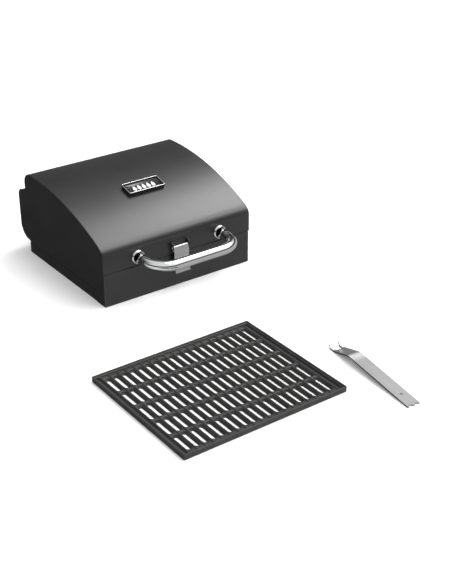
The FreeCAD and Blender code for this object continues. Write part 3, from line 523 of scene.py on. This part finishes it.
# ---- handle ----
def handle_bar(bm):
    """A round tube swept along its bent centre line."""
    corners = [(HANDLE_X, -0.5, 0), (HANDLE_X, -HANDLE_REACH, HANDLE_BEND)]
    corners += [(-HANDLE_X, -HANDLE_REACH, HANDLE_BEND), (-HANDLE_X, -0.5, 0)]
    path = rounded(corners, closed=False, step=4.0)
    loops = []
    for i, here in enumerate(path):
        before = (here - path[i - 1]).normalized() if i else (path[1] - here).normalized()
        after = (path[i + 1] - here).normalized() if i + 1 < len(path) else before
        ahead = (before + after).normalized()
        side = Vector((-ahead.y, ahead.x))
        loop = []
        for k in range(48):
            t = 2 * math.pi * k / 48
            flat = here + side * (TUBE_RADIUS * math.cos(t))
            loop.append(bm.verts.new(at(flat.x, flat.y, HANDLE_Z + TUBE_RADIUS * math.sin(t))))
        loops.append(loop)
    for a, b in zip(loops, loops[1:]):
        for k in range(48):
            bm.faces.new((a[k], a[(k + 1) % 48], b[(k + 1) % 48], b[k]))
    bm.faces.new(loops[0])
    bm.faces.new(loops[-1])


BEZEL_PROFILE = [
    (12.8, 0.0), (17.3, 0.0), (17.5, 0.3), (17.5, 2.6), (17.35, 4.2), (16.95, 5.6), (16.35, 6.7), (15.6, 7.5),
    (14.8, 7.9), (14.1, 8.0), (13.5, 7.8), (13.1, 7.3), (12.9, 6.6), (12.8, 5.6),
]


def bezel_places(side):
    return lambda x, y, depth: at(side * HANDLE_X + x, -depth, HANDLE_Z + y)


def build_handle():
    bar = object_from("handle_bar", handle_bar)
    settle(bar, "lid", "chrome", ["handle_tube"])
    for name, side in (("left", -1), ("right", 1)):
        ring = object_from("bezel_" + name, lambda bm: add_lathe(bm, BEZEL_PROFILE, 64, bezel_places(side)))
        settle(ring, "lid", "chrome", ["handle_bezel_" + name])


# ---- latch ----
LATCH_HALF = 20.5
LATCH_PIN = (-6.5, 102.5)


LATCH_SHEET = 1.5
LATCH_EYE = (2.05, 3.55)


def latch_sheet(bm):
    """The hanging plate with the eye that turns on the pin."""
    bore, eye = LATCH_EYE
    path = [(LATCH_PIN[0] - eye, LATCH_PIN[1], 0), (-12.6, 85.5, 2.5), (-11.6, 82, 2.5), (-13.4, 60, 8)]
    path = rounded(path + [(-17.2, 39, 0)], closed=False, step=6.0)
    add_prism(bm, thickened(path, LATCH_SHEET), -LATCH_HALF, LATCH_HALF, along_x)
    ring = [(bore, 0.0), (eye, 0.0), (eye, 2 * LATCH_HALF), (bore, 2 * LATCH_HALF)]
    add_lathe(bm, ring, 32, lambda x, y, d: at(d - LATCH_HALF, LATCH_PIN[0] + x, LATCH_PIN[1] + y))


def latch_frame(bm):
    """The back plate and two ears that carry the latch's pin."""
    outer, inner = LATCH_HALF + 2.8, LATCH_HALF + 0.8
    back = rounded([(-outer, 86, 2), (outer, 86, 2), (outer, 115, 0), (-outer, 115, 0)])
    add_prism(bm, back, -LATCH_SHEET, 0.0, along_y)
    ear = rounded([(-0.2, 94, 0), (-0.2, 115, 0), (-11.5, 113, 5), (-11.5, 97, 4)])
    add_prism(bm, ear, inner, outer, along_x)
    add_prism(bm, ear, -outer, -inner, along_x)


def build_latch():
    plate = object_from("latch_sheet", latch_sheet)
    settle(plate, "latch", "stainless", ["latch_plate"])
    soften(plate, 0.25)
    bracket = object_from("latch_frame", latch_frame)
    settle(bracket, "lid", "powder_coat", ["latch_bracket"])
    soften(bracket, 0.3)


# ---- badge ----
BADGE_Y = 150.0
BADGE_HALF = (50.0, 20.0)
BADGE_CORNER = 4.0
# inset from the badge's edge, and height above the skin
BODY_STEPS = ((0.0, -0.5), (0.0, 8.2), (0.25, 8.55), (1.7, 8.6), (2.0, 8.4), (2.2, 7.6), (2.4, 4.8), (2.8, 4.6))
RIM_WIRE = ((0.0, 8.58), (0.0, 9.2), (0.2, 9.6), (0.55, 9.8), (1.15, 9.8), (1.5, 9.6), (1.75, 9.2), (1.8, 8.58))
STUD_X = 38.0
STUD = ((0.01, -5.0), (1.5, -5.0), (1.5, 0.0), (0.01, 0.0))
RELIEF = (4.6, 5.4)
TONGUE_PITCH = 13.0
TONGUE_WIDTH, TONGUE_HEIGHT, TONGUE_LEAN = 11.0, 20.0, 1.5
TONGUE_FOOT = -11.0


def badge_place():
    """A function that puts badge coordinates, up the slope and out of the skin, in the row frame."""
    centre, radius = circle_through(CREASE, LID_MIDDLE, LID_REAR)
    z = centre.y + math.sqrt(radius**2 - (BADGE_Y - centre.x) ** 2)
    slope = math.atan2(centre.x - BADGE_Y, z - centre.y)
    up = Vector((0, math.cos(slope), math.sin(slope)))
    out = Vector((0, -math.sin(slope), math.cos(slope)))
    origin = at(0, BADGE_Y, z)
    return lambda x, y, h: origin + (Vector((x, 0, 0)) + up * y + out * h) * MM


def rectangle_loop(bm, half_x, half_y, corner, height, place, step=15.0):
    signs = ((-1, -1), (1, -1), (1, 1), (-1, 1))
    corners = [(sign_x * half_x, sign_y * half_y, corner) for sign_x, sign_y in signs]
    return [bm.verts.new(place(p.x, p.y, height)) for p in rounded(corners, step=step)]


def bridge(bm, loops, first_cap=True, last_cap=True):
    """Join loops of equal length into one skin."""
    for a, b in zip(loops, loops[1:]):
        count = len(a)
        for i in range(count):
            j = (i + 1) % count
            bm.faces.new((a[i], a[j], b[j], b[i]))
    if first_cap:
        bm.faces.new(loops[0])
    if last_cap:
        bm.faces.new(loops[-1])


def badge_loops(bm, steps, place):
    """One rounded rectangle for each step's inset and height."""
    hx, hy = BADGE_HALF
    return [rectangle_loop(bm, hx - i, hy - i, max(BADGE_CORNER - i, 1.0), h, place) for i, h in steps]


def badge_body(bm):
    """The dished plate and the two studs that go through the skin."""
    place = badge_place()
    bridge(bm, badge_loops(bm, BODY_STEPS, place))
    for x in (-STUD_X, STUD_X):
        add_lathe(bm, STUD, 20, lambda u, v, d, x=x: place(x + u, v, d))


def badge_frame(bm):
    """A half-round bright wire round the badge's face."""
    loops = badge_loops(bm, RIM_WIRE, badge_place())
    bridge(bm, loops + [loops[0]], False, False)


def add_badge_relief(bm, points):
    add_prism(bm, [Vector(p) for p in points], *RELIEF, badge_place())


def flame_tongue(x):
    """A simple teardrop flame: a round foot that narrows to a leaning tip."""
    points = []
    left_side, right_side = ((-1, k) for k in range(25)), ((1, k) for k in range(23, 0, -1))
    for sign, k in (*left_side, *right_side):
        t = k / 24
        side = math.sin(math.pi * t ** 0.72) * (1 - 0.35 * t)
        points.append((x + sign * TONGUE_WIDTH / 2 * side + TONGUE_LEAN * t * t, TONGUE_FOOT + TONGUE_HEIGHT * t))
    return points


def badge_emblem(bm):
    """A burner symbol: five equal flame tongues over a ground line."""
    for i in range(-2, 3):
        add_badge_relief(bm, flame_tongue(i * TONGUE_PITCH))
    line = rounded([(-36, -14.6, 1), (36, -14.6, 1), (36, -12.6, 1), (-36, -12.6, 1)], step=30.0)
    add_badge_relief(bm, line)


def build_badge():
    body = object_from("badge_body", badge_body)
    settle(body, "lid", "badge_black", ["badge_plate"])
    rim = object_from("badge_frame", badge_frame)
    settle(rim, "lid", "chrome", ["badge_rim"])
    white = enamel("emblem_white", (0.62, 0.62, 0.61), (0.74, 0.74, 0.73), (0.25, 0.35))
    emblem = object_from("badge_emblem", badge_emblem)
    settle(emblem, "lid", "badge_black", [], white)
    soften(emblem, 0.12)


# ---- grate ----
GRATE_LOW, GRATE_HIGH = (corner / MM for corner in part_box("grate"))
GRATE_CENTRE = (GRATE_LOW + GRATE_HIGH) / 2
COLUMNS, ROWS = 19, 5
PITCH = (19.3, 62.0)
FIELD_Z = 6.5
RIM_INSIDE = 6.9
RIDGE_SECTION = (
    (-1.75, 6.2), (-1.6, 7.8), (-1.2, 8.25), (-0.6, 8.4), (0.6, 8.4), (1.2, 8.25), (1.6, 7.8), (1.75, 6.2),
)


def on_grate(x, y, z):
    return Vector((GRATE_CENTRE.x + x, GRATE_CENTRE.y + y, z)) * MM


def capsule_ring(half_width, half_length, z):
    """Points of a slot shape that match cell_ring point for point."""
    straight = half_length - half_width
    points = []
    for quarter, (sx, sy) in enumerate(((1, 1), (-1, 1), (-1, -1), (1, -1))):
        for k in range(6):
            t = math.radians(90 * quarter + 15 * k)
            points.append((half_width * math.cos(t), half_width * math.sin(t) + sy * straight, z))
        t = math.radians(90 * quarter + 90)
        if quarter in (1, 3):
            points.append((half_width * math.cos(t), half_width * math.sin(t) + sy * straight, z))
    return points


def cell_ring(z):
    """Points of one cell's rectangle, in step with capsule_ring."""
    hx, hy = PITCH[0] / 2, PITCH[1] / 2
    straight = 21.5
    rise = (hy - straight) / 3
    right = [(hx, straight), (hx, straight + rise), (hx, straight + 2 * rise)]
    top = [(hx, hy), (hx * 2 / 3, hy), (hx / 3, hy), (0, hy), (-hx / 3, hy), (-hx * 2 / 3, hy), (-hx, hy)]
    left = [(-hx, straight + 2 * rise), (-hx, straight + rise), (-hx, straight)]
    half = right + top + left
    other = [(-x, -y) for x, y in half]
    return [(x, y, z) for x, y in half + other]


def add_cell(bm, cx, cy):
    rings = [cell_ring(FIELD_Z), capsule_ring(6.8, 28.3, FIELD_Z), capsule_ring(6.5, 28.0, FIELD_Z - 0.3)]
    rings += [capsule_ring(6.1, 27.6, 2.9), capsule_ring(5.8, 27.3, 2.5), capsule_ring(4.85, 26.35, 2.4)]
    rings += [capsule_ring(4.6, 26.1, 2.1), capsule_ring(4.4, 25.9, 0.0), cell_ring(0.0)]
    loops = [[bm.verts.new(on_grate(cx + x, cy + y, z)) for x, y, z in ring] for ring in rings]
    bridge(bm, loops, False, False)


# inset in x, inset in y and height, from the underside round the outer wall to the slotted field
RIM_STEPS = [
    (10.0, 10.0, 0.0), (1.0, 1.0, 0.0), (0.5, 0.5, 0.5), (0.0, 0.0, 11.2), (0.35, 0.35, 11.8), (0.9, 0.9, 12.0),
    (2.8, 2.8, 12.0), (3.3, 3.3, 11.75), (3.55, 3.55, 11.2), (3.75, 3.75, 9.5), (4.0, 4.0, 9.1), (4.5, 4.5, 9.0),
    (6.0, 6.0, 9.0), (6.4, 6.4, 8.8), (6.55, 6.6, 8.2), (6.7, 6.66, 4.5), (7.1, 6.68, 4.05), (13.4, 6.7, 4.0),
    (13.8, 6.72, 4.3), (13.95, 6.76, 6.1), (14.2, 7.1, 6.45), (15.0, 8.0, 6.48), (17.5, 14.5, 6.48),
]


def grate_casting(bm):
    """Outer wall, stepped rim, side grooves and the field of pocketed slots, as one skin."""
    hx, hy = (GRATE_HIGH.x - GRATE_LOW.x) / 2, (GRATE_HIGH.y - GRATE_LOW.y) / 2
    loops = []
    for inset_x, inset_y, z in RIM_STEPS:
        corner = max(3.0 - inset_x, 0.02)
        loops.append(rectangle_loop(bm, hx - inset_x, hy - inset_y, corner, z, on_grate))
    bridge(bm, loops, False, False)
    for column in range(COLUMNS):
        for row in range(ROWS):
            add_cell(bm, (column - (COLUMNS - 1) / 2) * PITCH[0], (row - (ROWS - 1) / 2) * PITCH[1])
    bmesh.ops.remove_doubles(bm, verts=bm.verts, dist=1e-6)


def grate_ridges(bm):
    """The raised spine of each bar, from the front rim to the rear rim."""
    hy = (GRATE_HIGH.y - GRATE_LOW.y) / 2 - RIM_INSIDE
    for column in range(COLUMNS + 1):
        x = (column - COLUMNS / 2) * PITCH[0]
        outline = [Vector((x + u, v)) for u, v in RIDGE_SECTION]
        add_prism(bm, outline, -hy, hy, lambda u, v, w: on_grate(u, w, v))


def build_grate():
    casting = object_from("grate_casting", lambda bm: (grate_casting(bm), grate_ridges(bm)))
    casting.data.set_sharp_from_angle(angle=math.radians(50))
    settle(casting, "grate_body", "cast_iron", ["grate"])


# ---- lifter ----
LIFTER_HALF = 15.5
LIFTER_LENGTHS = (200.0, 50.0, 22.0)
PRONG_X = 12.0
PRONG_HALF = 3.5
HANG_HOLE = (40.0, 3.0)
END_NOTCH = (7.6, 3.6)


def lifter_path():
    """The underside of the strip as (along, height) points, with soft bends."""
    bar, head, prong = LIFTER_LENGTHS
    root = bar + head
    corners = [(0, 0, 0), (bar, 15, 45), (root, 0, 10), (root + 13, 2, 10), (root + prong, 10.5, 0)]
    return rounded(corners, closed=False, step=2.0)


def on_lifter(x, along, z):
    """A point of the lifter, turned on the surface that it lies on, in metres."""
    start = at(81.0, -709.0, 0)
    turned = Matrix.Rotation(LIFTER_TURN, 3, "Z") @ Vector((x, along, z))
    return start + turned * MM


def lifter_strip(bm):
    """The bar and head as one bent strip with a notched end, and two round-tipped prongs that curl up."""
    path = lifter_path()
    root = sum(LIFTER_LENGTHS[:2])
    tip = path[-1].x

    def height(s):
        for a, b in zip(path, path[1:]):
            if a.x <= s <= b.x:
                return a.y + (b.y - a.y) * (s - a.x) / (b.x - a.x)
        return path[-1].y if s > path[-1].x else 0.0

    def grid(columns, stations, spot, open_at=lambda x, s: False):
        """A strip two skins thick. spot(x, s) gives where the point of a column and station lies."""
        cells = set()
        for i, (s, s_next) in enumerate(zip(stations, stations[1:])):
            for k, (x, x_next) in enumerate(zip(columns, columns[1:])):
                if not open_at((x + x_next) / 2, (s + s_next) / 2):
                    cells.add((i, k))
        skins = []
        for lift in (0.0, 3.0):
            skin = {}
            for i, s in enumerate(stations):
                for k, x in enumerate(columns):
                    if cells & {(i - 1, k - 1), (i - 1, k), (i, k - 1), (i, k)}:
                        across, along = spot(x, s)
                        skin[i, k] = bm.verts.new(on_lifter(across, along, height(along) + lift))
            skins.append(skin)
        low, high = skins
        for i, k in sorted(cells):
            ring = [(i, k), (i, k + 1), (i + 1, k + 1), (i + 1, k)]
            bm.faces.new([high[c] for c in ring])
            bm.faces.new([low[c] for c in reversed(ring)])
            beyond = ((i - 1, k), (i, k + 1), (i + 1, k), (i, k - 1))
            for n, cell in enumerate(beyond):
                if cell not in cells:
                    a, b = ring[n], ring[(n + 1) % 4]
                    bm.faces.new((low[a], low[b], high[b], high[a]))

    def in_bar(x, s):
        from_hole = Vector((x, s - HANG_HOLE[0]))
        if abs(from_hole.length - HANG_HOLE[1]) < 0.6:
            from_hole *= HANG_HOLE[1] / from_hole.length
            return from_hole.x, HANG_HOLE[0] + from_hole.y
        place, radius = END_NOTCH
        notch = max(math.sqrt(max(radius**2 - (x - c) ** 2, 0)) for c in (-place, place))
        return x, max(s, notch)

    def in_prong(x, s):
        side = PRONG_X if x > 0 else -PRONG_X
        into_tip = max(s - (tip - PRONG_HALF), 0) / PRONG_HALF
        return side + (x - side) * math.sqrt(max(1 - into_tip**2, 0.01)), s

    hole_stops = [HANG_HOLE[0] + 0.775 * (i - 5) for i in range(11)]
    stops = [0.0] + [6.0 + 4 * i for i in range(8)] + hole_stops + [46.0 + 4 * i for i in range(35)]
    stops += [p.x for p in path if 186 < p.x < root - 0.5] + [root]
    columns = [-LIFTER_HALF + 2 * LIFTER_HALF * i / 40 for i in range(41)]
    grid(columns, sorted(set(stops)), in_bar, lambda x, s: math.hypot(x, s - HANG_HOLE[0]) < HANG_HOLE[1])
    prong_stops = [root - 0.6 + 19.0 * i / 14 for i in range(15)]
    prong_stops += [tip - 2.6, tip - 1.7, tip - 0.9, tip - 0.3, tip]
    for side in (-1, 1):
        columns = sorted(side * PRONG_X + PRONG_HALF * (i / 4 - 1) for i in range(9))
        grid(columns, prong_stops, in_prong)


def build_lifter():
    strip = object_from("lifter_strip", lifter_strip)
    settle(strip, "lifter_body", "stainless", ["grate_lifter"], LIFTER_STEEL)
    soften(strip, 0.45, 2, 50.0)


# ---- carried-over CAD nodes ----
def dress_cad_nodes():
    """Every CAD piece that stays gets its finish and softly broken edges."""
    slots = {part["node"]: part["material_slot"] for part in frame["record"]["subparts"]}
    for name, obj in frame["nodes"].items():
        obj.data.materials.clear()
        obj.data.materials.append(LOOKS[slots[name]])
        obj.modifiers.new("joined", "WELD").merge_threshold = 0.01 * MM
        soften(obj, 0.2, 1, 40.0)


# ---- studio ----
# brightness of the surround against height, from straight below at 0 to straight above at 1
WORLD_FRONT = (
    (0.0, 0.46), (0.30, 0.58), (0.52, 0.60), (0.56, 0.12), (0.69, 0.12), (0.74, 1.3), (0.95, 1.3), (1.0, 1.0),
)
WORLD_BACK = (
    (0.0, 0.05), (0.40, 0.05), (0.47, 0.55), (0.58, 0.50), (0.66, 0.06), (0.76, 0.06), (0.84, 0.30),
    (0.91, 0.8), (1.0, 1.0),
)
WORLD_LEFT = ((0.0, 0.8), (0.46, 1.0), (0.51, 0.08), (0.66, 0.08), (0.74, 1.0), (1.0, 1.0))
FLOOR_HALF = 30.0
FLOOR_DROP = 0.0004
WALL_RADIUS = 28.0
WALL_SIDES = 48


def build_floor():
    """A pale paper floor, and a glowing paper wall far round it that only the camera sees."""
    def sheet(bm):
        signs = ((-1, -1), (1, -1), (1, 1), (-1, 1))
        bm.faces.new([bm.verts.new((x * FLOOR_HALF, y * FLOOR_HALF, -FLOOR_DROP)) for x, y in signs])

    def wall(bm):
        rings = []
        for z in (-0.001, 30.0):
            turns = [2 * math.pi * k / WALL_SIDES for k in range(WALL_SIDES)]
            rings.append([bm.verts.new((WALL_RADIUS * math.cos(t), WALL_RADIUS * math.sin(t), z)) for t in turns])
        bridge(bm, rings, False, False)

    floor = object_from("studio_floor", sheet)
    floor.data.materials.append(floor_paper("studio_paper"))
    backdrop = object_from("studio_wall", wall)
    backdrop.data.materials.append(floor_paper("studio_paper_lit", 1.2))
    backdrop.visible_diffuse = False
    backdrop.visible_shadow = False
    for obj in (floor, backdrop):
        obj.visible_glossy = False


def build_world():
    """A studio surround whose brightness goes with height, blended from a front, a back and a left side."""
    world = bpy.data.worlds.new("studio")
    world.use_nodes = True
    tree = world.node_tree
    shade = tree.nodes["Background"]
    coords = tree.nodes.new("ShaderNodeTexCoord").outputs["Generated"]

    def ramp(socket, stops):
        node = tree.nodes.new("ShaderNodeValToRGB")
        elements = node.color_ramp.elements
        while len(elements) < len(stops):
            elements.new(0.5)
        for element, (place, grey) in zip(elements, stops):
            element.position = place
            element.color = (grey, grey, grey, 1)
        tree.links.new(socket, node.inputs["Fac"])
        return node.outputs["Color"]

    def along(direction):
        node = tree.nodes.new("ShaderNodeVectorMath")
        node.operation = "DOT_PRODUCT"
        node.inputs[1].default_value = Vector(direction).normalized() * 0.5
        tree.links.new(coords, node.inputs[0])
        shift = tree.nodes.new("ShaderNodeMath")
        shift.inputs[1].default_value = 0.5
        tree.links.new(node.outputs["Value"], shift.inputs[0])
        return shift.outputs["Value"]

    height = along((0, 0, 1))
    front = ramp(height, WORLD_FRONT)
    back = ramp(height, WORLD_BACK)
    share = ramp(along((0.62, -0.78, 0)), ((0.42, 0.0), (0.66, 1.0)))
    left = ramp(height, WORLD_LEFT)
    left_share = ramp(along((-0.8, -0.6, 0)), ((0.62, 0.0), (0.85, 1.0)))

    def mixed(factor, a, b):
        mix = tree.nodes.new("ShaderNodeMix")
        mix.data_type = "RGBA"
        for name, socket in (("Factor", factor), ("A", a), ("B", b)):
            tree.links.new(socket, mix.inputs[name])
        return mix.outputs["Result"]

    tree.links.new(mixed(left_share, mixed(share, back, front), left), shade.inputs["Color"])
    bpy.context.scene.world = world


def add_light(name, kind, towards, strength, spot=None, **settings):
    """A light that shines from the given direction, and for an area light from the given place."""
    light = bpy.data.lights.new(name, kind)
    light.energy = strength
    for key, value in settings.items():
        setattr(light, key, value)
    obj = bpy.data.objects.new(name, light)
    obj.rotation_mode = "QUATERNION"
    obj.rotation_quaternion = Vector(towards).to_track_quat("Z", "Y")
    if spot:
        obj.location = spot
    bpy.context.scene.collection.objects.link(obj)
    return obj


def build_lights():
    """A broad overhead light, a softbox aimed at the middle of the lid, and fills from above and in front."""
    add_light("overhead", "SUN", (0.46, -0.10, 0.88), 2.0, angle=math.radians(52))
    spot = at(1158, 516, 1559)
    from_lid = spot - at(0, 120, 170)
    add_light("lid_softbox", "AREA", from_lid, 0.60, spot, shape="SQUARE", size=0.7, spread=math.radians(40))
    fills = (("sky_fill", (0, 0, 1), 0.5), ("front_fill", (0.1, -1, 0.4), 0.8))
    for name, towards, strength in fills:
        add_light(name, "SUN", towards, strength, angle=math.radians(150)).visible_glossy = False


def build_camera():
    azimuth, elevation = math.radians(-36.13), math.radians(28.0)
    level = math.cos(elevation)
    back = Vector((math.sin(azimuth) * level, -math.cos(azimuth) * level, math.sin(elevation)))
    data = bpy.data.cameras.new("studio_camera")
    data.sensor_width = 36.0
    data.lens = 71.7
    data.clip_start, data.clip_end = 0.05, 100.0
    camera = bpy.data.objects.new("studio_camera", data)
    camera.rotation_mode = "QUATERNION"
    camera.rotation_quaternion = (-back).to_track_quat("-Z", "Y")
    right = camera.rotation_quaternion @ Vector((1, 0, 0))
    up = camera.rotation_quaternion @ Vector((0, 1, 0))
    camera.location = Vector((-1.4396, -2.26945, 1.1454)) + right * 0.043 + up * 0.158
    bpy.context.scene.collection.objects.link(camera)
    bpy.context.scene.camera = camera


dress_cad_nodes()
build_box()
build_lid()
build_handle()
build_latch()
build_badge()
build_grate()
build_lifter()
build_floor()
build_world()
build_lights()
build_camera()
bpy.context.scene.view_settings.view_transform = "Standard"
